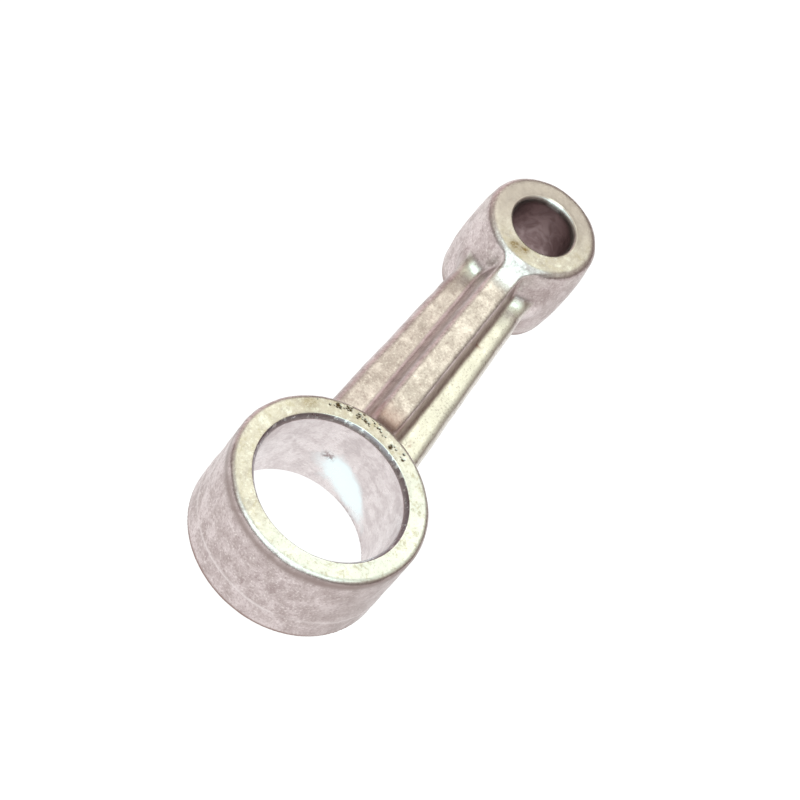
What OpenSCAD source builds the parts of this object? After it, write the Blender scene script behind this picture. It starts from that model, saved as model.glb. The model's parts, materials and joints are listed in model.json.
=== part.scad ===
// Cast connecting rod of a small engine or compressor.
// Three pieces: one casting that carries both eyes, a pressed liner in the big end
// and a pressed bush in the small end.
// The big end bore is centred on the origin with its axis along Z, and +X points to the small end.

/* [Rod] */
// Distance between the two bore centres
centre_distance = 85; // [75:1:120]

/* [Big end] */
// Outside diameter of the big eye
big_eye_d = 40; // [38:0.5:46]
// Length of the big eye along its bore
big_eye_length = 21; // [20:0.5:26]
// Edge chamfer on the outside of the big eye
big_eye_chamfer = 0.8; // [0.4:0.1:1.2]
// Running bore of the big end, inside its liner
big_bore_d = 30; // [24:0.5:31]

/* [Small end] */
// Outside diameter of the small eye, at its middle
small_eye_d = 25.2; // [22:0.1:28]
// How much smaller the small eye's radius is at its ends than at its middle
small_eye_crown = 0.8; // [0.2:0.1:1]
// Length of the small eye along its bore
small_eye_length = 23; // [20:0.5:26]
// Rounding on the outside edges of the small eye
small_eye_rounding = 1.5; // [0.5:0.1:2]
// Running bore of the small end, inside its bush
small_bore_d = 13; // [8:0.5:14]

/* [Liner and bush] */
// Wall thickness of the liner and of the bush
lining_wall = 1; // [0.8:0.1:1.5]
// How far the mouth chamfer of each bore widens its radius
mouth_width = 0.8; // [0.4:0.1:0.8]
// How deep the mouth chamfer of the big end bore reaches
big_mouth_depth = 1; // [0.5:0.1:2]
// How deep the mouth chamfer of the small end bore reaches
small_mouth_depth = 1.9; // [0.5:0.1:2.5]

/* [Shank] */
// Width of the flange beside the big eye
flange_width_big = 21.4; // [16:0.2:24]
// Width of the flange beside the small eye
flange_width_small = 16.2; // [14:0.2:18]
// Thickness of the flange
flange_thickness = 4; // [3:0.5:6]
// Height of the ribs from crest to crest
rib_height = 14.4; // [12:0.2:17]
// Width of a rib's crest beside the big eye
crest_width_big = 5.6; // [4:0.2:8]
// Width of a rib's crest beside the small eye
crest_width_small = 5; // [3:0.2:7]
// How much wider a rib is at its root than at its crest
rib_draft = 3; // [0:0.2:4]

/* [Fillets] */
// Radius where a rib's crest climbs the big eye
big_crest_fillet = 6; // [3:0.5:8]
// Radius where a rib's crest climbs the small eye
small_crest_fillet = 4.5; // [3:0.5:6]
// Radius where the flange climbs either eye
flange_fillet = 2; // [1:0.5:3]
// Half width of the flare where a rib runs into an eye
flare_half_width = 5.5; // [5:0.5:7]

/* [Hidden] */

$fn = 96;
arc_steps = 8;
hull_fn = 24;
sliver = 0.02;

big_r = big_eye_d / 2;
small_r = small_eye_d / 2;
big_seat_r = big_bore_d / 2 + lining_wall;
small_seat_r = small_bore_d / 2 + lining_wall;
half_rib = rib_height / 2;
half_flange = flange_thickness / 2;

// Each end of the shank lies inside the wall of its eye, half way to the seat.
shank_start = (big_r + big_seat_r) / 2;
shank_end = centre_distance - (small_r + small_seat_r) / 2;

// Heights of the outer wall of each eye, below its edge chamfer or rounding.
big_wall_top = big_eye_length / 2 - big_eye_chamfer;
small_wall_top = small_eye_length / 2 - small_eye_rounding;

// Radius of the small eye where its wall ends.
small_end_r = small_r - small_eye_crown;

// Points on a circular arc about a centre, from one angle to another.
function arc(centre, r, from, to) = [
    for (i = [0 : arc_steps])
        let (a = from + (to - from) * i / arc_steps)
            centre + r * [cos(a), sin(a)]
];

// Angle that a fillet turns through while it climbs a given height.
function climb_angle(r, height) = acos(1 - min(height, r) / r);

// Half outline of a flare: level at `start`, curving out to `end`.
function flare_arc(start, end) =
    let (
        run = end[0] - start[0],
        rise = end[1] - start[1],
        r = (run * run + rise * rise) / (2 * rise),
        turn = asin(abs(run) / r),
        side = sign(run)
    )
    [
        for (i = [0 : arc_steps])
            let (a = turn * i / arc_steps)
                [start[0] + side * r * sin(a), start[1] + r * (1 - cos(a))]
    ];

// A solid eye with both outside edges chamfered.
module chamfered_eye(r, length, chamfer) {
    h = length / 2;
    rotate_extrude()
        polygon([
            [0, -h],
            [r - chamfer, -h],
            [r, chamfer - h],
            [r, h - chamfer],
            [r - chamfer, h],
            [0, h]
        ]);
}

// A solid eye with a crowned wall and with both outside edges rounded.
module crowned_eye(r, length, crown, rounding) {
    h = length / 2;
    wall_top = h - rounding;
    crown_r = (wall_top * wall_top + crown * crown) / (2 * crown);
    turn = asin(wall_top / (crown_r - rounding));
    corner_r = r - crown_r + (crown_r - rounding) * cos(turn);
    // The crown's own points stop one step short of each rounding.
    crown_turn = turn * (1 - 1 / arc_steps);
    rotate_extrude()
        polygon(concat(
            [[0, -h]],
            arc([corner_r, -wall_top], rounding, -90, -turn),
            arc([r - crown_r, 0], crown_r, -crown_turn, crown_turn),
            arc([corner_r, wall_top], rounding, turn, 90),
            [[0, h]]
        ));
}

// A ring that fills the corner between a level at `level` and the wall of an eye, above and below.
module corner_ring(eye_r, level, wall_top, fillet_r) {
    turn = climb_angle(fillet_r, wall_top - level);
    reach = fillet_r * sin(turn);
    climb = fillet_r * (1 - cos(turn));
    inner = eye_r - 1;
    rotate_extrude()
        polygon(concat(
            [[inner, -level - climb]],
            arc([eye_r + reach, -level - fillet_r], fillet_r, 90 + turn, 90),
            arc([eye_r + reach, level + fillet_r], fillet_r, -90, -90 - turn),
            [[inner, level + climb]]
        ));
}

// Plan of the flare between a rib and the eye at `centre_x`; `side` is the way towards the shank.
module flare_plan(centre_x, side, eye_r, root_half_width, reach) {
    foot_x = sqrt(eye_r * eye_r - flare_half_width * flare_half_width);
    upper = flare_arc(
        [centre_x + side * (eye_r + reach), root_half_width],
        [centre_x + side * foot_x, flare_half_width]
    );
    lower = [for (i = [arc_steps : -1 : 0]) [upper[i][0], -upper[i][1]]];
    back_x = centre_x + side * (foot_x - 1);
    polygon(concat(upper, [[back_x, flare_half_width], [back_x, -flare_half_width]], lower));
}

// One thin slice across both ribs: drafted walls, with a level band as high as the flange is thick.
module rib_slice(x, crest_width) {
    crest = crest_width / 2;
    root = crest + rib_draft / 2;
    translate([x, 0, 0])
        rotate([90, 0, 90])
            linear_extrude(sliver)
                polygon([
                    [-crest, -half_rib],
                    [crest, -half_rib],
                    [root, -half_flange],
                    [root, half_flange],
                    [crest, half_rib],
                    [-crest, half_rib],
                    [-root, half_flange],
                    [-root, -half_flange]
                ]);
}

// The two ribs, above and below the flange, as one drafted bar.
module ribs() {
    hull() {
        rib_slice(shank_start, crest_width_big);
        rib_slice(shank_end, crest_width_small);
    }
}

// The flat of the shank, with round edges.
module flange() {
    edge_big = (flange_width_big - flange_thickness) / 2;
    edge_small = (flange_width_small - flange_thickness) / 2;
    hull()
        for (side = [-1, 1]) {
            translate([shank_start, side * edge_big, 0])
                sphere(half_flange, $fn = hull_fn);
            translate([shank_end, side * edge_small, 0])
                sphere(half_flange, $fn = hull_fn);
        }
}

// The corner where a rib's crest climbs the wall of an eye, kept to the width of its flare.
module crest_corner(centre_x, side, eye_r, wall_top, fillet_r, crest_width) {
    turn = climb_angle(fillet_r, wall_top - half_rib);
    intersection() {
        translate([centre_x, 0, 0])
            corner_ring(eye_r, half_rib, wall_top, fillet_r);
        linear_extrude(2 * wall_top, center = true)
            flare_plan(centre_x, side, eye_r, crest_width / 2, fillet_r * sin(turn));
    }
}

// The corner where the flange climbs the wall of an eye, kept to the width of the flange.
module flange_corner(centre_x, side, eye_r, wall_top, flange_width) {
    half = flange_width / 2 - half_flange;
    intersection() {
        translate([centre_x, 0, 0])
            corner_ring(eye_r, half_flange, wall_top, flange_fillet);
        translate([centre_x + side * (eye_r + flange_fillet) / 2, 0, 0])
            cube([eye_r + flange_fillet, 2 * half, 2 * wall_top], center = true);
    }
}

module shank() {
    flange();
    ribs();
    crest_corner(0, 1, big_r, big_wall_top, big_crest_fillet, crest_width_big);
    crest_corner(centre_distance, -1, small_end_r, small_wall_top, small_crest_fillet, crest_width_small);
    flange_corner(0, 1, big_r, big_wall_top, flange_width_big);
    flange_corner(centre_distance, -1, small_r, small_wall_top, flange_width_small);
}

// The casting: both eyes and the shank, bored through for the liner and the bush.
module rod_casting() {
    color([0.80, 0.77, 0.72])
        difference() {
            union() {
                chamfered_eye(big_r, big_eye_length, big_eye_chamfer);
                translate([centre_distance, 0, 0])
                    crowned_eye(small_r, small_eye_length, small_eye_crown, small_eye_rounding);
                shank();
            }
            cylinder(h = big_eye_length + 2, r = big_seat_r, center = true);
            translate([centre_distance, 0, 0])
                cylinder(h = small_eye_length + 2, r = small_seat_r, center = true);
        }
}

// A plain sleeve with a chamfer in each mouth.
module sleeve(bore_r, length, mouth_depth) {
    h = length / 2;
    outer = bore_r + lining_wall;
    mouth = bore_r + mouth_width;
    rotate_extrude()
        polygon([
            [outer, -h],
            [outer, h],
            [mouth, h],
            [bore_r, h - mouth_depth],
            [bore_r, mouth_depth - h],
            [mouth, -h]
        ]);
}

module big_end_liner() {
    color([0.78, 0.75, 0.77])
        sleeve(big_bore_d / 2, big_eye_length, big_mouth_depth);
}

module small_end_bush() {
    color([0.50, 0.42, 0.40])
        translate([centre_distance, 0, 0])
            sleeve(small_bore_d / 2, small_eye_length, small_mouth_depth);
}

rod_casting();
big_end_liner();
small_end_bush();
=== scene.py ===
"""Looks of the cast connecting rod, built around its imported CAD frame.

The casting is one skin, meshed from a distance field in millimetres and moved to metres at the end.
The liner and the bush are turned on a lathe. Big eye at the origin, small eye along +X, bores along Z.
"""
import json
import math

import bmesh
import bpy
import numpy as np
import openvdb
from mathutils import Matrix, Vector


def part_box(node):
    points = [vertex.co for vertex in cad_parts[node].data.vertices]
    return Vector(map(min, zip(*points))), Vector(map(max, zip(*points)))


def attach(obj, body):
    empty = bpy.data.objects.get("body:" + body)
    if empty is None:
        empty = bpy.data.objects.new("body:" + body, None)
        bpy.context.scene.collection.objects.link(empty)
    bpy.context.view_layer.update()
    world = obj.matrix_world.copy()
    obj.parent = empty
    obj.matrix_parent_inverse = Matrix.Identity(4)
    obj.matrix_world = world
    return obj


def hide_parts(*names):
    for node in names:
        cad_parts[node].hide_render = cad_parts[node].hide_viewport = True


MM = 0.001
SHARP_ANGLE = math.radians(35)

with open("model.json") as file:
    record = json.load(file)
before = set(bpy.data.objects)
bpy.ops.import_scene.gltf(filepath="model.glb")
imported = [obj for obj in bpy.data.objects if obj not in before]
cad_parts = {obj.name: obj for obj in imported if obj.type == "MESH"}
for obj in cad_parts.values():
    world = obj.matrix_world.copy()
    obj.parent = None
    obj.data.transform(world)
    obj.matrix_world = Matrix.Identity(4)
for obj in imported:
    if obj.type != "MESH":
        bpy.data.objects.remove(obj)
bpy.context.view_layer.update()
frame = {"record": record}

# ---------------------------------------------------------------- sizes from the frame, in millimetres


def box_mm(node):
    low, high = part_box(node)
    return np.array(low) / MM, np.array(high) / MM


def bore_mm(name):
    return next(m["dims"]["r_mm"] for m in frame["record"]["mounts"] if m["name"] == name)


CAST_LOW, CAST_HIGH = box_mm("rod_casting")
LINER_LOW, LINER_HIGH = box_mm("big_end_liner")
BUSH_LOW, BUSH_HIGH = box_mm("small_end_bush")

BIG_R = -CAST_LOW[0]
BIG_HALF = LINER_HIGH[2]
BIG_SEAT_R = (LINER_HIGH[0] - LINER_LOW[0]) / 2
BIG_BORE_R = bore_mm("big_end_bore")

SMALL_X = (BUSH_LOW[0] + BUSH_HIGH[0]) / 2
SMALL_R = CAST_HIGH[0] - SMALL_X
SMALL_HALF = BUSH_HIGH[2]
SMALL_SEAT_R = (BUSH_HIGH[0] - BUSH_LOW[0]) / 2
SMALL_BORE_R = bore_mm("small_end_bore")

# Half way between the bores.
MIDDLE_X = SMALL_X / 2

# Shank, in millimetres. CREST_EDGE_R is for the +Y edge of each crest and then for its -Y edge.
FLANGE_HALF_AT_BIG = 10.6
FLANGE_HALF_AT_SMALL = 8.2
FLANGE_HALF_THICKNESS = 2.0
CREST_Z = 7.2
CREST_HALF_AT_BIG = 2.8
CREST_HALF_AT_SMALL = 2.5
CREST_SHIFT = -0.4
CREST_EDGE_R = (1.2, 0.6)
RIB_DRAFT = 0.29

# Fillet beside the ribs: CREASE_R at the flange, down to CLIMB_FILLET above the heights named here.
CREASE_R = 0.7
CLIMB_FILLET = 0.3
CREASE_HEIGHTS = (3.5, 6.0)

# Edges of the eyes and the fillets that join them to the shank, in millimetres.
BIG_EDGE_R = 1.2
BIG_LOWER_EDGE_R = 0.3
SMALL_EDGE_R = 1.5
SMALL_CROWN = 0.8
FACE_EDGE_R = 0.12
FLANGE_FILLET = 3.2
BIG_CREST_FILLET = 6.0
BIG_FLARE_R = 2.5
SMALL_RAMP_ANGLE = math.radians(48)
SMALL_RAMP_FOOT_R = 2.2
SMALL_FLARE_R = (1.2, 7.0)
SMALL_FLARE_INSET = 1.0

# Mouths of the two bores: width and depth.
BIG_MOUTH = (0.8, 1.0)
SMALL_MOUTH = (0.8, 1.9)

# Unevenness of the cast skin: height, length and seed of each set of waves. It fades out by the end faces.
SKIN_WAVES = ((0.05, 9.0, 11), (0.018, 2.6, 12))
EVEN_REACH = 0.4
EVEN_DEPTH = (0.9, 0.2)

# The faint line round the big eye. It stops short of the shank.
WITNESS_Z = -5.0
WITNESS_HEIGHT = 0.14
WITNESS_HALF_WIDTH = 0.3
WITNESS_REACH = 0.8
WITNESS_END_X = BIG_R * 0.8

# Pores in the big end's upper face. Large ones: angle in degrees, distance from the axis, radius.
LARGE_PORES = ((28, 18.5, 0.42), (20, 18.4, 0.3), (-13, 16.8, 0.4), (9, 17.8, 0.28), (-24, 17.4, 0.3))
# Small ones lie along a line: its distance from the axis, at which angle, and its drift with each degree.
SMALL_PORES = 64
SMALL_PORE_LINE = (17.4, -27, 0.02)
SMALL_PORE_SPREAD = 0.45
SMALL_PORE_TURNS = (-29, 24, 42)
SMALL_PORE_R = (0.1, 0.24)
PORED_TURNS = (-31, 44)
PORE_DEPTH = 0.25

# Grid steps of the casting's mesh: everywhere, and beside the end faces.
FULL_STEPS = (0.44, 0.26)
GRID_MARGIN = 0.9

# ---------------------------------------------------------------- camera and light

CAMERA_ELEVATION = 49.09
CAMERA_AZIMUTH = -0.62
CAMERA_ROLL = 40.01
CAMERA_DISTANCE = 0.708
CAMERA_LENS = 166.6
CAMERA_TARGET = (35.9 * MM, 0.3 * MM, 0.0)
LIGHT_DISTANCE = 0.8


def direction(azimuth, elevation):
    """Unit vector from the rod; azimuth 0 looks from the big end's side, along -X."""
    a, e = math.radians(azimuth), math.radians(elevation)
    return Vector((-math.cos(e) * math.cos(a), -math.cos(e) * math.sin(a), math.sin(e)))


def facing(back, roll=0.0):
    """Rotation whose local +Z is `back`, rolled about it in degrees."""
    right = (-back).cross(Vector((0, 0, 1))).normalized()
    up = right.cross(-back)
    upright = Matrix((right, up, back)).transposed()
    return (upright @ Matrix.Rotation(math.radians(roll), 3, "Z")).to_4x4()


def add_camera():
    data = bpy.data.cameras.new("camera")
    data.lens = CAMERA_LENS
    data.sensor_width = 36.0
    data.clip_end = 10.0
    camera = bpy.data.objects.new("camera", data)
    back = direction(CAMERA_AZIMUTH, CAMERA_ELEVATION)
    place = Matrix.Translation(Vector(CAMERA_TARGET) + CAMERA_DISTANCE * back)
    camera.matrix_world = place @ facing(back, CAMERA_ROLL)
    bpy.context.scene.collection.objects.link(camera)
    bpy.context.scene.camera = camera


def softbox(name, azimuth, elevation, size, power, colour):
    data = bpy.data.lights.new(name, "AREA")
    data.shape = "RECTANGLE"
    data.size, data.size_y = size
    data.energy = power
    data.color = colour
    light = bpy.data.objects.new(name, data)
    back = direction(azimuth, elevation)
    place = Matrix.Translation(Vector(CAMERA_TARGET) + LIGHT_DISTANCE * back)
    light.matrix_world = place @ facing(back)
    bpy.context.scene.collection.objects.link(light)


def add_lights():
    softbox("front_softbox", 4, 56, size=(1.2, 1.0), power=7.4, colour=(0.66, 0.97, 1.0))
    softbox("back_softbox", 190, 52, size=(0.50, 0.40), power=0.85, colour=(0.93, 1.0, 0.84))
    softbox("left_fill", 229, 12, size=(0.6, 0.45), power=0.7, colour=(1.0, 0.87, 0.90))


def add_world():
    """A light tent: dark near the horizon, cream above."""
    world = bpy.data.worlds.new("light_tent")
    bpy.context.scene.world = world
    world.use_nodes = True
    nodes, links = world.node_tree.nodes, world.node_tree.links
    nodes.clear()
    where = nodes.new("ShaderNodeTexCoord")
    split = nodes.new("ShaderNodeSeparateXYZ")
    ramp = nodes.new("ShaderNodeValToRGB")
    back = nodes.new("ShaderNodeBackground")
    out = nodes.new("ShaderNodeOutputWorld")
    stops = ramp.color_ramp.elements
    stops[0].position, stops[0].color = 0.0, (0.12, 0.07, 0.06, 1)
    stops[1].position, stops[1].color = 1.0, (0.86, 0.89, 0.76, 1)
    for position, colour in ((0.25, (0.22, 0.15, 0.13)), (0.6, (0.74, 0.74, 0.63))):
        stop = stops.new(position)
        stop.color = (*colour, 1)
    links.new(where.outputs["Generated"], split.inputs[0])
    links.new(split.outputs["Z"], ramp.inputs[0])
    links.new(ramp.outputs[0], back.inputs["Color"])
    links.new(back.outputs[0], out.inputs["Surface"])


# ---------------------------------------------------------------- distance fields, in millimetres


def fillet_union(a, b, r):
    """Union of two fields with a concave fillet of radius r between them."""
    return np.maximum(r, np.minimum(a, b)) - np.hypot(np.maximum(r - a, 0), np.maximum(r - b, 0))


def rounded_cut(a, b, r):
    """Intersection of two fields with their shared edge rounded to radius r."""
    return np.minimum(-r, np.maximum(a, b)) + np.hypot(np.maximum(r + a, 0), np.maximum(r + b, 0))


def smoothstep(low, high, v):
    """Runs smoothly from 0 at `low` to 1 at `high`, whichever of them is the greater."""
    t = np.clip((v - low) / (high - low), 0, 1)
    return t * t * (3 - 2 * t)


def waves(x, y, z, length, seed, count=18):
    """Smooth noise about -1 to 1: a sum of plane waves about `length` millimetres long."""
    draw = np.random.default_rng(seed)
    total = np.zeros_like(x)
    for _ in range(count):
        way = draw.normal(size=3)
        way *= 2 * np.pi / (length * draw.uniform(0.7, 1.5) * np.linalg.norm(way))
        total += np.cos(way[0] * x + way[1] * y + way[2] * z + draw.uniform(0, 2 * np.pi))
    return total / math.sqrt(count)


def big_gap(x, y):
    """Distance from the big eye's wall, outwards."""
    return np.hypot(x, y) - BIG_R


def small_gap(x, y, z):
    """Distance from the small eye's wall, outwards: the wall is a barrel, widest half way along."""
    return np.hypot(x - SMALL_X, y) - SMALL_R + SMALL_CROWN * (z / SMALL_HALF) ** 2


def big_eye(x, y, z):
    edge_r = np.where(z > 0, BIG_EDGE_R, BIG_LOWER_EDGE_R)
    return rounded_cut(big_gap(x, y), np.abs(z) - BIG_HALF, edge_r)


def small_eye(x, y, z):
    return rounded_cut(small_gap(x, y, z), np.abs(z) - SMALL_HALF, SMALL_EDGE_R)


def crests(x, y, z):
    """Field under the crests: an arc climbs the big eye, and a ramp with a round foot the small eye.

    The ramp runs on smoothly into the small eye's rounded edge.
    """
    height = np.abs(z)
    above = height - CREST_Z
    wall_top = BIG_HALF - BIG_EDGE_R
    turn = math.acos(1 - (wall_top - CREST_Z) / BIG_CREST_FILLET)
    wall = big_gap(x, y) + BIG_CREST_FILLET * (1 - math.sin(turn))
    arc = np.maximum(fillet_union(above, wall, BIG_CREST_FILLET), height - wall_top)
    up = (height - SMALL_HALF + SMALL_EDGE_R) * math.cos(SMALL_RAMP_ANGLE)
    out = (small_gap(x, y, z) + SMALL_EDGE_R) * math.sin(SMALL_RAMP_ANGLE)
    return np.minimum(arc, fillet_union(above, up + out - SMALL_EDGE_R, SMALL_RAMP_FOOT_R))


def ribs(x, y, z):
    """Both ribs, with drafted sides that flare where they run into the eyes."""
    height = np.abs(z)
    along = np.clip(x / SMALL_X, 0, 1)
    half = CREST_HALF_AT_BIG + (CREST_HALF_AT_SMALL - CREST_HALF_AT_BIG) * along
    half = half + RIB_DRAFT * np.maximum(CREST_Z - height, 0)
    middle = CREST_SHIFT * height / CREST_Z
    side = (np.abs(y - middle) - half) / math.hypot(1, RIB_DRAFT)
    low_r, high_r = SMALL_FLARE_R
    flare_r = low_r + (high_r - low_r) * (height / SMALL_HALF) ** 5
    sides = np.minimum(
        fillet_union(side, big_gap(x, y), BIG_FLARE_R),
        fillet_union(side, small_gap(x, y, z) + SMALL_FLARE_INSET, flare_r),
    )
    left_r, right_r = CREST_EDGE_R
    return rounded_cut(crests(x, y, z), sides, np.where(y > middle, left_r, right_r))


def flange(x, y, z):
    along = (x - BIG_R) / (SMALL_X - SMALL_R - BIG_R)
    half = FLANGE_HALF_AT_BIG + (FLANGE_HALF_AT_SMALL - FLANGE_HALF_AT_BIG) * along
    edge = np.maximum(np.abs(y) - half + FLANGE_HALF_THICKNESS, 0)
    return np.hypot(edge, z) - FLANGE_HALF_THICKNESS


def face_height(x):
    """Height of the end face of whichever eye is nearer."""
    return np.where(x < MIDDLE_X, BIG_HALF, SMALL_HALF)


def casting_field(x, y, z):
    """Distance to the casting's skin, negative inside."""
    past_ends = np.maximum(BIG_SEAT_R + 1 - x, x - SMALL_X + SMALL_SEAT_R + 1)
    eyes = np.minimum(big_eye(x, y, z), small_eye(x, y, z))
    body = fillet_union(np.maximum(flange(x, y, z), past_ends), eyes, FLANGE_FILLET)
    fillet = CREASE_R + (CLIMB_FILLET - CREASE_R) * smoothstep(*CREASE_HEIGHTS, np.abs(z))
    body = fillet_union(body, np.maximum(ribs(x, y, z), past_ends), fillet)
    skin = sum(height * waves(x, y, z, length, seed) for height, length, seed in SKIN_WAVES)
    near_eye = np.minimum(big_gap(x, y), small_gap(x, y, z)) < EVEN_REACH
    body = body + skin * (1 - near_eye * smoothstep(*EVEN_DEPTH, face_height(x) - np.abs(z)))
    body = body - witness_ridge(x, y, z)
    body = rounded_cut(body, np.abs(z) - face_height(x), FACE_EDGE_R)
    seats = np.minimum(np.hypot(x, y) - BIG_SEAT_R, np.hypot(x - SMALL_X, y) - SMALL_SEAT_R)
    return np.maximum(body, -seats)


def witness_ridge(x, y, z):
    """Height of the faint, broken line that runs round the big eye below its middle."""
    near_eye = np.exp(-((big_gap(x, y) / WITNESS_REACH) ** 2)) * (x < WITNESS_END_X)
    return WITNESS_HEIGHT * witness_line(x, y, z) * near_eye


def witness_line(x, y, z):
    """Strength of that line, from 0 to about 1."""
    level = WITNESS_Z + 0.3 * waves(x, y, 0 * z, 16.0, 21)
    strength = np.clip(0.75 + 0.3 * waves(x, y, 0 * z, 7.0, 22), 0, 1.2)
    return strength * np.exp(-(((z - level) / WITNESS_HALF_WIDTH) ** 2))


# ---------------------------------------------------------------- meshing


def grid_lines(low, high, step, fine_step, bands):
    """Grid lines from low to high, `step` apart, and `fine_step` apart inside any band."""
    lines = [low]
    while lines[-1] < high:
        fine = any(a <= lines[-1] <= b for a, b in bands)
        lines.append(lines[-1] + (fine_step if fine else step))
    return np.array(lines)


def mesh_field(field, lines, passes=4, longest_move=0.2):
    """Quads on the zero surface of a field, their corners moved onto the true surface in a few passes."""
    x, y, z = lines
    values = np.stack([field(*np.meshgrid([a], y, z, indexing="ij"))[0] for a in x])
    grid = openvdb.FloatGrid(3.0)
    grid.copyFromArray(values.astype(np.float32))
    index, quads = grid.convertToQuads(0.0)
    points = np.stack(
        [np.interp(index[:, i], np.arange(len(lines[i])), lines[i]) for i in range(3)], axis=1
    )
    for _ in range(passes):
        value, slope = slope_of(field, points)
        move = slope * (value / np.maximum((slope * slope).sum(1), 0.05))[:, None]
        length = np.linalg.norm(move, axis=1, keepdims=True)
        points -= move * np.minimum(1, longest_move / np.maximum(length, 1e-9))
    return points, quads


def slope_of(field, points, step=0.02):
    """A field's value and gradient at each point."""
    value = field(*points.T)
    slope = np.empty_like(points)
    for i in range(3):
        shift = np.zeros(3)
        shift[i] = step
        slope[:, i] = (field(*(points + shift).T) - field(*(points - shift).T)) / (2 * step)
    return value, slope


def snap_to_seats(points, snap_reach):
    """Moves the points near a seat's rim onto it, so that the edge beside a liner is crisp."""
    for centre_x, seat_r, half in ((0, BIG_SEAT_R, BIG_HALF), (SMALL_X, SMALL_SEAT_R, SMALL_HALF)):
        radial = points[:, :2] - (centre_x, 0)
        reach = np.linalg.norm(radial, axis=1)
        near = np.hypot(reach - seat_r, np.abs(points[:, 2]) - half) < snap_reach
        points[near, :2] = (centre_x, 0) + radial[near] * (seat_r / reach[near])[:, None]
        points[near, 2] = np.sign(points[near, 2]) * half


def refine(mesh, chosen, cuts):
    """Splits the chosen faces of a mesh into finer grids."""
    bm = bmesh.new()
    bm.from_mesh(mesh)
    edges = dict.fromkeys(e for f in bm.faces if chosen(f.calc_center_median() / MM) for e in f.edges)
    bmesh.ops.subdivide_edges(bm, edges=list(edges), cuts=cuts, use_grid_fill=True)
    bm.to_mesh(mesh)
    bm.free()


def mark_sharp_edges(mesh):
    """Keeps smooth shading from running round a mesh's sharp edges."""
    bm = bmesh.new()
    bm.from_mesh(mesh)
    for edge in bm.edges:
        edge.smooth = edge.calc_face_angle(0) < SHARP_ANGLE
    bm.to_mesh(mesh)
    bm.free()


def points_of(mesh):
    """A mesh's points, in millimetres."""
    flat = np.empty(3 * len(mesh.vertices))
    mesh.vertices.foreach_get("co", flat)
    return flat.reshape(-1, 3) / MM


def new_object(name, points_mm, faces, material):
    mesh = bpy.data.meshes.new(name)
    mesh.from_pydata((points_mm * MM).tolist(), [], faces)
    mesh.validate()
    mesh.shade_smooth()
    mesh.materials.append(material)
    obj = bpy.data.objects.new(name, mesh)
    bpy.context.scene.collection.objects.link(obj)
    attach(obj, "root")
    return obj


def store(obj, name, values):
    """Saves one number a vertex for the shaders, in place of any saved before under that name."""
    attributes = obj.data.attributes
    attribute = attributes.get(name) or attributes.new(name, "FLOAT", "POINT")
    attribute.data.foreach_set("value", np.asarray(values, np.float32))


# ---------------------------------------------------------------- materials

# Colours of the turned end faces.
FACE_DULL = (0.50, 0.445, 0.41)
FACE_CLEAN = (0.66, 0.60, 0.545)
FACE_PALER = (0.735, 0.735, 0.715)
FACE_BROWN_FLECK = (0.47, 0.41, 0.30)
FACE_PALE_FLECK = (0.84, 0.83, 0.78)
FACE_DARK_GRAIN = (0.36, 0.30, 0.25)
FACE_PALE_GRAIN = (0.86, 0.84, 0.80)
TARNISH_DARK = (0.385, 0.325, 0.32)
TARNISH_PALE = (0.47, 0.40, 0.39)
TARNISH_GRAIN = (0.33, 0.27, 0.25)
FACE_STAIN = (0.21, 0.145, 0.065)

# Colours of the cast skin.
SKIN_PALE = (0.67, 0.575, 0.57)
SKIN_DULL = (0.47, 0.385, 0.375)
SKIN_STREAK = (0.34, 0.255, 0.255)
# Paler tone, and a painted highlight by the small eye.
SKIN_PALE_HIGHLIGHT = (0.78, 0.75, 0.68)
SKIN_PALE_GRAIN = (0.86, 0.78, 0.76)
SKIN_DARK_GRAIN = (0.30, 0.215, 0.21)
# Painted shade.
SKIN_SHADE = (0.29, 0.22, 0.205)
# The witness line, and painted light in the +Y crease.
SKIN_SCAR_AND_LIGHT = (0.82, 0.74, 0.73)
# Painted shade, and dirt in a nick and a scratch.
SKIN_DIRT_AND_SHADE = (0.25, 0.115, 0.088)
SKIN_PORE = (0.15, 0.085, 0.035)

# Colours of the liner and its mouth. The highlight colour is painted, and the mouth's colours are a
# painted dark reflection with painted sparkles.
LINER_PALE = (0.77, 0.70, 0.695)
LINER_DULL = (0.62, 0.545, 0.545)
LINER_DARK_GRAIN = (0.44, 0.36, 0.36)
LINER_PALE_GRAIN = (0.92, 0.87, 0.86)
LINER_HIGHLIGHT = (0.88, 0.98, 1.0)
LINER_MARK = (0.34, 0.27, 0.27)
MOUTH_DARK_REFLECTION = (0.36, 0.30, 0.335)
MOUTH_SPARKLE = (1.0, 0.98, 1.0)

# Colours of the bush. Its dark tones are painted shade inside the small bore, and the bright one is a
# painted highlight.
BUSH_SHADE_LIGHT = (0.40, 0.31, 0.31)
BUSH_SHADE_DEEP = (0.25, 0.17, 0.17)
BUSH_HIGHLIGHT = (0.95, 0.93, 0.92)


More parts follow.
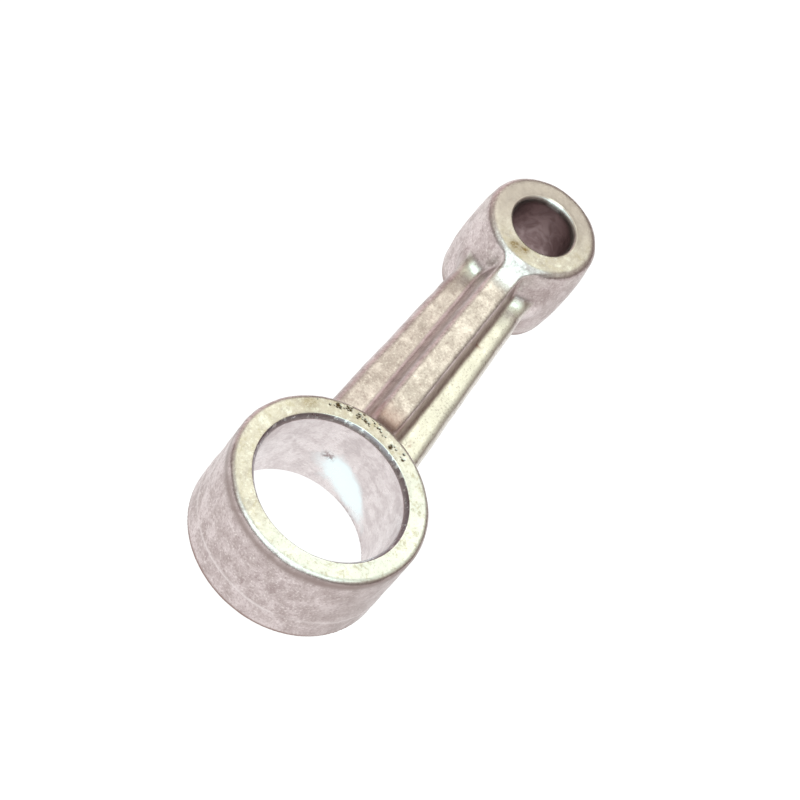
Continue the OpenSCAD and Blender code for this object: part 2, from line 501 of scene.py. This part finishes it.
class Shader:
    """A node material, with short calls for the nodes used here."""

    def __init__(self, name):
        self.material = bpy.data.materials.new(name)
        self.material.use_nodes = True
        self.tree = self.material.node_tree
        self.tree.nodes.clear()
        self.bsdf = self.tree.nodes.new("ShaderNodeBsdfPrincipled")
        out = self.tree.nodes.new("ShaderNodeOutputMaterial")
        self.tree.links.new(self.bsdf.outputs[0], out.inputs["Surface"])
        self.place = self.tree.nodes.new("ShaderNodeTexCoord").outputs["Object"]

    def feed(self, socket, value):
        if isinstance(value, bpy.types.NodeSocket):
            self.tree.links.new(value, socket)
        else:
            socket.default_value = value

    def set(self, **inputs):
        for name, value in inputs.items():
            self.feed(self.bsdf.inputs[name.replace("_", " ")], value)

    def scaled(self, scale):
        """Object coordinates, stretched by a factor on each axis."""
        node = self.tree.nodes.new("ShaderNodeMapping")
        self.feed(node.inputs["Vector"], self.place)
        node.inputs["Scale"].default_value = scale
        return node.outputs[0]

    def noise(self, size_mm, detail=3.0, roughness=0.55, stretch=(1, 1, 1), distortion=0.0):
        """Noise from 0 to 1 with features about size_mm wide."""
        node = self.tree.nodes.new("ShaderNodeTexNoise")
        self.feed(node.inputs["Vector"], self.scaled(stretch))
        node.inputs["Scale"].default_value = 1 / (size_mm * MM)
        node.inputs["Detail"].default_value = detail
        node.inputs["Roughness"].default_value = roughness
        node.inputs["Distortion"].default_value = distortion
        return node.outputs[0]

    def attribute(self, name):
        node = self.tree.nodes.new("ShaderNodeAttribute")
        node.attribute_name = name
        return node.outputs["Fac"]

    def span(self, value, low, high, to_low=0.0, to_high=1.0):
        """Maps low..high to to_low..to_high, smoothly and clamped."""
        node = self.tree.nodes.new("ShaderNodeMapRange")
        node.interpolation_type = "SMOOTHSTEP"
        for socket, v in zip(node.inputs, (value, low, high, to_low, to_high)):
            self.feed(socket, v)
        return node.outputs[0]

    def math(self, kind, a, b=0.0):
        node = self.tree.nodes.new("ShaderNodeMath")
        node.operation = kind
        self.feed(node.inputs[0], a)
        self.feed(node.inputs[1], b)
        return node.outputs[0]

    def mix(self, fac, a, b):
        """Mixes colour a into colour b."""
        node = self.tree.nodes.new("ShaderNodeMix")
        node.data_type = "RGBA"
        self.feed(node.inputs[0], fac)
        for socket, colour in ((node.inputs[6], a), (node.inputs[7], b)):
            self.feed(socket, colour if isinstance(colour, bpy.types.NodeSocket) else (*colour, 1))
        return node.outputs[2]

    def bump(self, height, distance_mm, strength=1.0, normal=None):
        node = self.tree.nodes.new("ShaderNodeBump")
        node.inputs["Strength"].default_value = strength
        node.inputs["Distance"].default_value = distance_mm * MM
        self.feed(node.inputs["Height"], height)
        if normal is not None:
            self.feed(node.inputs["Normal"], normal)
        return node.outputs[0]


def turned_face(s):
    """Colour of the turned end faces, which runs on from the casting to the liner or the bush."""
    grain = s.noise(0.55, 4.0, 0.7)
    cloud = s.noise(4.0, 6.0, 0.65)
    face = s.mix(s.span(cloud, 0.36, 0.64), FACE_DULL, FACE_CLEAN)
    fleck = s.noise(1.4, 5.0, 0.7, distortion=0.3)
    face = s.mix(s.attribute("pale_and_highlight"), face, FACE_PALER)
    face = s.mix(s.span(fleck, 0.5, 0.68, 0.0, 0.75), face, FACE_BROWN_FLECK)
    face = s.mix(s.span(fleck, 0.46, 0.33, 0.0, 0.6), face, FACE_PALE_FLECK)
    face = s.mix(s.span(grain, 0.54, 0.70, 0.0, 0.5), face, FACE_DARK_GRAIN)
    face = s.mix(s.span(grain, 0.46, 0.32, 0.0, 0.45), face, FACE_PALE_GRAIN)
    tarnish = s.mix(s.span(cloud, 0.35, 0.65), TARNISH_DARK, TARNISH_PALE)
    tarnish = s.mix(s.span(grain, 0.5, 0.72, 0.0, 0.3), tarnish, TARNISH_GRAIN)
    face = s.mix(s.attribute("tarnish"), face, tarnish)
    stain = s.math("MULTIPLY", s.attribute("stain"), s.span(grain, 0.38, 0.62, 1.2, 0.5))
    return s.mix(stain, face, FACE_STAIN)


def cast_aluminium():
    """Tumbled casting skin, with turned end faces, dark pores and small dirty marks, painted shade in the
    creases and by the rims, and painted light.
    """
    s = Shader("cast_aluminium")
    blotch = s.noise(4.0, 7.0, 0.68, distortion=0.4)
    streak = s.noise(2.2, 6.0, 0.7, stretch=(1, 1, 0.45), distortion=0.3)
    grain = s.noise(0.5, 3.0, 0.7)
    skin = s.mix(s.span(blotch, 0.36, 0.64), SKIN_PALE, SKIN_DULL)
    skin = s.mix(s.span(streak, 0.5, 0.72, 0.0, 0.65), skin, SKIN_STREAK)
    # Paler tone, and a painted highlight where the flange meets the small eye.
    skin = s.mix(s.attribute("pale_and_highlight"), skin, SKIN_PALE_HIGHLIGHT)
    skin = s.mix(s.span(grain, 0.53, 0.68, 0.0, 0.6), skin, SKIN_PALE_GRAIN)
    skin = s.mix(s.span(grain, 0.46, 0.33, 0.0, 0.55), skin, SKIN_DARK_GRAIN)
    # Painted shade by the rims, and on one side of the eyes and of the shank.
    skin = s.mix(s.attribute("shade"), skin, SKIN_SHADE)
    # The witness line, and painted light in the +Y crease.
    skin = s.mix(s.attribute("scar_and_light"), skin, SKIN_SCAR_AND_LIGHT)
    colour = s.mix(s.attribute("turned"), skin, turned_face(s))
    # Painted shade in the creases and by the rims, and dirt in a nick and a scratch.
    colour = s.mix(s.attribute("dirt_and_shade"), colour, SKIN_DIRT_AND_SHADE)
    colour = s.mix(s.attribute("pore"), colour, SKIN_PORE)
    rough = s.span(blotch, 0.3, 0.7, 0.33, 0.44)
    rough = s.span(s.attribute("pore"), 0.0, 1.0, rough, 0.9)
    bump = s.bump(s.noise(0.9, 3.0, 0.6), 0.05, 0.8)
    bump = s.bump(grain, 0.02, 0.7, bump)
    s.set(Base_Color=colour, Metallic=1.0, Roughness=rough, Normal=bump)
    return s.material


def liner_metal():
    s = Shader("liner_metal")
    lay = s.noise(0.5, 3.0, 0.6, stretch=(0.08, 0.08, 1))
    smear = s.noise(3.0, 4.0, 0.62, distortion=0.5)
    grain = s.noise(0.6, 4.0, 0.7, stretch=(1, 1, 1.6))
    colour = s.mix(s.span(smear, 0.35, 0.68), LINER_PALE, LINER_DULL)
    colour = s.mix(s.span(grain, 0.52, 0.70, 0.0, 0.45), colour, LINER_DARK_GRAIN)
    colour = s.mix(s.span(grain, 0.46, 0.34, 0.0, 0.4), colour, LINER_PALE_GRAIN)
    # Painted highlight patch on the bore wall.
    highlight_patch = s.math("ADD", s.attribute("highlight_patch"), s.span(smear, 0.3, 0.7, -0.2, 0.15))
    colour = s.mix(s.span(highlight_patch, 0.05, 0.95), colour, LINER_HIGHLIGHT)
    colour = s.mix(s.span(s.noise(0.8), 0.35, 0.6, 0.0, s.attribute("mark")), colour, LINER_MARK)
    # The mouth: a painted dark reflection with painted sparkles of highlight.
    mouth = s.mix(s.span(s.noise(1.2, 2.0), 0.57, 0.64), MOUTH_DARK_REFLECTION, MOUTH_SPARKLE)
    colour = s.mix(s.attribute("mouth"), colour, mouth)
    colour = s.mix(s.attribute("turned"), colour, turned_face(s))
    s.set(Base_Color=colour, Metallic=1.0, Roughness=s.span(smear, 0.3, 0.7, 0.26, 0.38))
    s.set(Normal=s.bump(lay, 0.012, 0.6))
    return s.material


def bush_metal():
    s = Shader("bush_metal")
    lay = s.noise(0.5, 3.0, 0.6, stretch=(0.1, 0.1, 1))
    smear = s.noise(3.0, 4.0, 0.6, distortion=0.5)
    # Painted shade: the bush is dark inside the small bore.
    colour = s.mix(s.span(smear, 0.35, 0.7), BUSH_SHADE_LIGHT, BUSH_SHADE_DEEP)
    colour = s.mix(s.attribute("turned"), colour, turned_face(s))
    # Painted highlight on the mouth's far side.
    colour = s.mix(s.attribute("mouth_highlight"), colour, BUSH_HIGHLIGHT)
    s.set(Base_Color=colour, Metallic=1.0, Roughness=s.span(smear, 0.3, 0.7, 0.3, 0.42))
    s.set(Normal=s.bump(lay, 0.012, 0.6))
    return s.material


def floor_paper():
    s = Shader("floor_paper")
    s.set(Base_Color=(0.08, 0.08, 0.08, 1), Roughness=1.0)
    s.set(Emission_Color=(1.0, 1.0, 1.0, 1), Emission_Strength=1.0)
    return s.material


# ---------------------------------------------------------------- pieces

# Marks, in millimetres. A pair is where a mark begins and where it reaches its full strength.
WALL_REACH = 0.6
SMALL_LOWER_RIM = (-SMALL_HALF + 2.4, -SMALL_HALF + 1.2)

# Paler tone on the flange's +Z and -Z faces along its -Y edge, on the crests, and across the big end's
# faces.
PALE_FLANGE_Y = (-4.0, -4.8)
PALE_FLANGE_Z = (2.4, 2.1)
PALE_FLANGE_FROM_X = (20, 23)
PALE_FLANGE_TO_X = (72, 66)
PALE_CREST_Z = (6.7, 7.0)
PALE_CREST_X = (24, 32)
PALE_FACE_ACROSS = (6, -10)
PALE_FACE_DEPTH = (0.3, 0.1)

# Painted highlight on the fillets where the flange meets the small eye.
HIGHLIGHT_TIP_X = (69, 71)
HIGHLIGHT_TIP_Z = (3.5, 2.8)
HIGHLIGHT_TIP_INNER_Y = (4.0, 4.6)
HIGHLIGHT_TIP_OUTER_Y = (8.4, 7.6)

# Painted shade in a band below the big eye's upper rim, a little higher and wider on one side, and on its
# lower rim.
BAND_BELOW_RIM = 2.0
BAND_HALF_WIDTH = 1.1
BAND_SIDE_Y = (0, -14)
BAND_SIDE_X = (6, 0)
SHADE_LOWER_RIM = (-BIG_HALF + 0.9, -BIG_HALF + 0.4)

# Painted shade on one side of the two eyes, of the upper rib and of the flange.
SHADE_BIG_Y = (-8, -18)
SHADE_SMALL_Y = (2, -8)
SHADE_RIB_FOOT_Z = (4.4, 5.2)
SHADE_RIB_TOP_Z = (7.2, 6.9)
SHADE_RIB_Y = (1.9, 2.4)
SHADE_FLANGE_X = (60, 67)
SHADE_FLANGE_Y = (3.8, 4.3)

# Painted shade on the big eye's lower rim, where the upper rib climbs that eye, and on the upper rib's -Y
# side.
BIG_WALL_INSIDE = (-1.0, -0.6)
BIG_WALL_OUTSIDE = (1.5, 0.5)
SHADED_LOWER_RIM = (-BIG_HALF + 0.8, -BIG_HALF + 0.45)
CLIMB_GAP = (10, 4)
CLIMB_START = (0.2, 0.7)
CLIMB_Z = (4, 6)
SHADED_RIB_FOOT_Z = (2.2, 3.0)
SHADED_RIB_TOP_Z = (7.1, 6.6)
SHADED_RIB_Y = (-1.6, -2.4)

# Stains on the end faces: strength, centre of the bore, angle in degrees, distance from the axis, radius.
STAINS = (
    (0.6, 0, 47, 18.0, 2.2),
    (0.3, 0, 30, 18.4, 2.6),
    (0.2, 0, 10, 18.2, 2.6),
    (0.95, SMALL_X, 165, 9.2, 0.8),
    (0.9, SMALL_X, 180, 8.3, 0.8),
    (0.45, SMALL_X, 172, 9.9, 2.6),
)

# Marks on the liner, by angle in degrees and height: a painted highlight patch, a scuff and a darker band
# by the lower edge.
HIGHLIGHT_TURN, HIGHLIGHT_HALF_TURN = -8, 31
SCUFF_TURN, SCUFF_HALF_TURN = 16, 5
SCUFF_Z = -0.6
DARK_EDGE_Z = (-8.8, -9.4)
DARK_EDGE_FROM_TURN = (-100, -80)
DARK_EDGE_TO_TURN = (-2, -18)

# Painted highlight in the bush's mouth, in degrees.
MOUTH_HIGHLIGHT_TURN = 8
MOUTH_HIGHLIGHT_HALF_TURN = (18, 8)


def build_casting():
    step, fine = FULL_STEPS
    low, high = CAST_LOW - GRID_MARGIN, CAST_HIGH + GRID_MARGIN
    end_faces = [(BIG_HALF - 1.0, SMALL_HALF + 0.2)]
    z = grid_lines(0.0, high[2], step, fine, end_faces)
    lines = (
        grid_lines(low[0], high[0], step, step, []),
        grid_lines(low[1], high[1], step, step, []),
        np.concatenate([-z[:0:-1], z]),
    )
    points, quads = mesh_field(casting_field, lines)
    snap_to_seats(points, 0.75 * step)
    obj = new_object("casting_skin", points, quads.tolist(), cast_aluminium())
    refine(obj.data, on_pored_face, cuts=3)
    mark_sharp_edges(obj.data)
    points = points_of(obj.data)
    pore = pores(points)
    sunk = points - pore[:, None] * (0, 0, PORE_DEPTH)
    obj.data.vertices.foreach_set("co", (sunk * MM).ravel())
    store(obj, "pore", pore)
    store(obj, "dirt_and_shade", dirt_and_shade(points))
    line = 0.75 * witness_line(*points.T) * (np.abs(big_gap(*points.T[:2])) < WALL_REACH)
    # The witness line, and painted light in the crease on the +Y side.
    store(obj, "scar_and_light", line + 0.8 * crease(points) * smoothstep(0, 2, points[:, 1]))
    store(obj, "shade", shade(points))
    store_face_marks(obj, points)
    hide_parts("rod_casting")


def between_eyes(x, y, z):
    """Whether a point lies clear of the walls of both eyes."""
    return (big_gap(x, y) > WALL_REACH) * (small_gap(x, y, z) > WALL_REACH)


def small_lower_rim(x, z):
    """The lower rim of the small eye, from 0 to 1."""
    return smoothstep(*SMALL_LOWER_RIM, z) * (x > MIDDLE_X)


def pale_and_highlight(points):
    """Where the casting is paler: along the flange, on the crests and on part of the big end's faces; and
    a painted highlight where the flange meets the small eye.
    """
    x, y, z = points.T
    height = np.abs(z)
    flange_top = smoothstep(*PALE_FLANGE_Y, y) * smoothstep(*PALE_FLANGE_Z, height)
    flange_top = flange_top * smoothstep(*PALE_FLANGE_FROM_X, x)
    face = smoothstep(*PALE_FACE_ACROSS, y + 0.4 * x) * smoothstep(*PALE_FACE_DEPTH, BIG_HALF - height)
    face = face * (x < MIDDLE_X)
    crest = 0.15 * smoothstep(*PALE_CREST_Z, height) * smoothstep(*PALE_CREST_X, x)
    crest = crest * (small_gap(x, y, z) > 0)
    # Painted highlight on the fillets where the flange meets the small eye.
    tip_highlight = smoothstep(*HIGHLIGHT_TIP_X, x) * smoothstep(*HIGHLIGHT_TIP_Z, height)
    tip_highlight = tip_highlight * smoothstep(*HIGHLIGHT_TIP_INNER_Y, np.abs(y)) * smoothstep(*HIGHLIGHT_TIP_OUTER_Y, np.abs(y))
    tip_highlight = tip_highlight * (small_gap(x, y, z) > 0.1)
    return np.maximum.reduce([0.8 * flange_top * smoothstep(*PALE_FLANGE_TO_X, x), crest, tip_highlight, face])


def shade(points):
    """Painted shade on the casting: by the rims of the eyes, and on one side of each eye and of the shank.
    """
    x, y, z = points.T
    side = smoothstep(*BAND_SIDE_Y, y) * smoothstep(*BAND_SIDE_X, x)
    from_band = z - BIG_HALF + BAND_BELOW_RIM - 0.6 * side
    band = (0.85 + 0.15 * side) * np.exp(-((from_band / (BAND_HALF_WIDTH + 0.1 * side)) ** 2))
    rims = np.maximum(band, smoothstep(*SHADE_LOWER_RIM, z))
    big = np.maximum(0.45 * smoothstep(*SHADE_BIG_Y, y), rims) * (np.abs(big_gap(x, y)) < WALL_REACH)
    small = 0.3 * smoothstep(*SHADE_SMALL_Y, y) * (small_gap(x, y, z) < 0.5) * (x > MIDDLE_X)
    small = small + 0.6 * small_lower_rim(x, z)
    rib = 0.5 * smoothstep(*SHADE_RIB_FOOT_Z, z) * smoothstep(*SHADE_RIB_TOP_Z, z)
    rib = rib * smoothstep(*SHADE_RIB_Y, y) * (y < 5)
    flange_end = (0.14 + 0.3 * smoothstep(*SHADE_FLANGE_X, x)) * (np.abs(z) < 2.3)
    flange_end = flange_end * smoothstep(*SHADE_FLANGE_Y, y)
    return big + small + (rib + flange_end) * between_eyes(x, y, z)


def on_pored_face(centre):
    """Whether a face lies on the stretch of the big end's upper face that has pores."""
    turn = math.degrees(math.atan2(centre.y, centre.x))
    first, last = PORED_TURNS
    on_face = centre.z > BIG_HALF - 0.05 and math.hypot(centre.x, centre.y) < BIG_R
    return on_face and first < turn < last


def pores(points):
    """Depth of the pores at each point, from 0 to 1."""
    draw = np.random.default_rng(5)
    spots = list(LARGE_PORES)
    line_reach, line_turn, drift = SMALL_PORE_LINE
    for _ in range(SMALL_PORES):
        turn = draw.triangular(*SMALL_PORE_TURNS)
        reach = line_reach + drift * (turn - line_turn) + draw.normal(0, SMALL_PORE_SPREAD)
        spots.append((turn, reach, draw.uniform(*SMALL_PORE_R)))
    depth = np.zeros(len(points))
    for turn, reach, size in spots:
        a = math.radians(turn)
        away = np.hypot(points[:, 0] - reach * math.cos(a), points[:, 1] - reach * math.sin(a))
        depth = np.maximum(depth, smoothstep(1.25, 0.5, away / size))
    return depth * (np.abs(points[:, 2] - BIG_HALF) < 0.1)


def crease(points, step=0.45):
    """How tight a hollow each point beside the ribs lies in, from 0 to 1."""
    total = -6 * casting_field(*points.T)
    for i in range(3):
        shift = np.zeros(3)
        shift[i] = step
        total += casting_field(*(points + shift).T) + casting_field(*(points - shift).T)
    x, y, z = points.T
    ends = smoothstep(9.5, 8.5, np.abs(z)) * smoothstep(8.5, 6.5, np.abs(z) - np.abs(y - CREST_SHIFT))
    return smoothstep(0.15, 1.0, -total / step) * ends * (1 - 0.8 * smoothstep(66, 69, x))


def dirt_and_shade(points):
    """Painted shade along one side of the ribs, round the lower rims and where the upper rib climbs the
    big eye; dirt in a nick and a scratch.
    """
    x, y, z = points.T
    gap = big_gap(x, y)
    wall = smoothstep(*BIG_WALL_INSIDE, gap) * smoothstep(*BIG_WALL_OUTSIDE, gap)
    lower_rim = 0.45 * smoothstep(*SHADED_LOWER_RIM, z)
    climb = 0.5 * smoothstep(*CLIMB_GAP, gap) * smoothstep(*CLIMB_Z, z) * smoothstep(*CLIMB_START, gap)
    nick = 0.7 * np.exp(-(((x - 57.5) / 0.3) ** 2) - ((y + 4.9) / 0.8) ** 2)
    scratch = 0.6 * np.exp(-(((y + 6.5 - 0.35 * (x - 27)) / 0.2) ** 2) - ((x - 27) / 1.1) ** 2)
    rib = 0.35 * smoothstep(*SHADED_RIB_FOOT_Z, z) * smoothstep(*SHADED_RIB_TOP_Z, z)
    rib = rib * smoothstep(*SHADED_RIB_Y, y) * between_eyes(x, y, z)
    side = 0.8 * crease(points) * smoothstep(0, -2, y)
    # Painted shade on the small eye's lower rim and the climb; the nick and the scratch are dirt.
    marks = 0.2 * small_lower_rim(x, z) + climb + nick + scratch
    return np.clip(np.maximum(side, rib) + wall * lower_rim + marks, 0, 1)


def polar_spot(points, centre_x, turn, reach, size):
    """A soft round spot at an angle and distance from a bore's axis, from 0 to 1."""
    a = math.radians(turn)
    away = np.hypot(points[:, 0] - centre_x - reach * math.cos(a), points[:, 1] - reach * math.sin(a))
    return np.exp(-((away / size) ** 2))


def store_face_marks(obj, points):
    """Stores the marks that run on across pieces: paler tone with a painted highlight, turned, tarnished
    and stained.
    """
    x, y, z = points.T
    store(obj, "pale_and_highlight", pale_and_highlight(points))
    store(obj, "turned", smoothstep(0.12, 0.03, face_height(x) - np.abs(z)))
    store(obj, "tarnish", 0.9 * (x > MIDDLE_X) * smoothstep(-16, 6, x - SMALL_X + 0.6 * y))
    stain = sum(strength * polar_spot(points, *spot) for strength, *spot in STAINS)
    store(obj, "stain", np.clip(stain, 0, 1))


def lathe(name, centre_x, profile, material, segments=192):
    """Turns a closed (radius, height) profile about the vertical axis at centre_x."""
    profile = np.array(profile)
    turn = np.arange(segments) * 2 * np.pi / segments
    points = np.concatenate(
        [
            np.stack([centre_x + profile[:, 0] * np.cos(a), profile[:, 0] * np.sin(a), profile[:, 1]], 1)
            for a in turn
        ]
    )
    n = len(profile)
    faces = [
        (
            i * n + j,
            i * n + (j + 1) % n,
            ((i + 1) % segments) * n + (j + 1) % n,
            ((i + 1) % segments) * n + j,
        )
        for i in range(segments)
        for j in range(n)
    ]
    obj = new_object(name, points, faces, material)
    mark_sharp_edges(obj.data)
    return obj


def sleeve_profile(seat_r, half, mouth):
    """Closed outline of a sleeve: `mouth` runs from its wall up to its end face."""
    ring_step, corner = 1.0, 0.02
    bore_r, wall_top = mouth[0]
    wall = [(bore_r, h) for h in np.arange(0.0, wall_top, ring_step)]
    upper = wall + mouth + [(seat_r - corner, half), (seat_r, half - corner), (seat_r, half - ring_step)]
    return upper + [(r, -h) for r, h in upper[:0:-1]]


def build_liner():
    width, depth = BIG_MOUTH
    # How softly the mouth's corners are rounded.
    soft = 0.1
    mouth = [
        (BIG_BORE_R, BIG_HALF - depth - soft),
        (BIG_BORE_R + 0.3 * soft, BIG_HALF - depth + 0.3 * soft),
        (BIG_BORE_R + width - soft, BIG_HALF - 1.2 * soft),
        (BIG_BORE_R + width - 0.3 * soft, BIG_HALF - 0.3 * soft),
        (BIG_BORE_R + width + 0.5 * soft, BIG_HALF),
    ]
    profile = sleeve_profile(BIG_SEAT_R, BIG_HALF, mouth)
    obj = lathe("liner", 0.0, profile, liner_metal())
    points = points_of(obj.data)
    x, y, z = points.T
    reach = np.hypot(x, y)
    turn = np.degrees(np.arctan2(y, x))
    store(obj, "mouth", smoothstep(0.02, 0.06, reach - BIG_BORE_R) * (reach < BIG_SEAT_R - 0.3))
    # A painted highlight patch on the bore wall.
    slant = -4.0 + 0.1 * turn
    half_height = 4.6 + 0.05 * turn
    across = (turn - HIGHLIGHT_TURN) / HIGHLIGHT_HALF_TURN
    store(obj, "highlight_patch", 0.95 * smoothstep(1.35, 0.4, np.hypot(across, (z - slant - 0.3) / half_height)))
    scuff = smoothstep(1.3, 0.7, np.hypot((turn - SCUFF_TURN) / SCUFF_HALF_TURN, z - SCUFF_Z))
    # Darker towards the lower edge, on part of the bore.
    edge = smoothstep(*DARK_EDGE_Z, z) * smoothstep(*DARK_EDGE_TO_TURN, turn)
    edge = edge * smoothstep(*DARK_EDGE_FROM_TURN, turn)
    store(obj, "mark", np.maximum(scuff, 0.9 * edge))
    store_face_marks(obj, points)
    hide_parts("big_end_liner")


def build_bush():
    width, depth = SMALL_MOUTH
    mouth = [
        (SMALL_BORE_R + width * (1 - math.cos(a)), SMALL_HALF - depth * (1 - math.sin(a)))
        for a in np.linspace(0, math.pi / 2, 9)
    ]
    profile = sleeve_profile(SMALL_SEAT_R, SMALL_HALF, mouth)
    obj = lathe("bush", SMALL_X, profile, bush_metal())
    points = points_of(obj.data)
    store_face_marks(obj, points)
    turn = np.degrees(np.arctan2(points[:, 1], points[:, 0] - SMALL_X))
    # Painted highlight on the mouth's far side.
    mouth_highlight = smoothstep(*MOUTH_HIGHLIGHT_HALF_TURN, np.abs(turn - MOUTH_HIGHLIGHT_TURN))
    store(obj, "mouth_highlight", 0.65 * mouth_highlight * (points[:, 2] > SMALL_HALF - 0.8 * depth))
    # The turned face's colour runs down into the mouth, then gives way to the bush's painted-shade colour.
    store(obj, "turned", smoothstep(depth, 0.6 * depth, SMALL_HALF - np.abs(points[:, 2])))
    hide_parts("small_end_bush")


def build_floor():
    half = 3.0
    z = CAST_LOW[2] * MM
    mesh = bpy.data.meshes.new("floor")
    corners = [(-half, -half, z), (half, -half, z), (half, half, z), (-half, half, z)]
    mesh.from_pydata(corners, [], [(0, 1, 2, 3)])
    mesh.materials.append(floor_paper())
    floor = bpy.data.objects.new("floor", mesh)
    bpy.context.scene.collection.objects.link(floor)


add_camera()
add_lights()
add_world()
bpy.context.scene.view_settings.view_transform = "Standard"
build_casting()
build_liner()
build_bush()
build_floor()
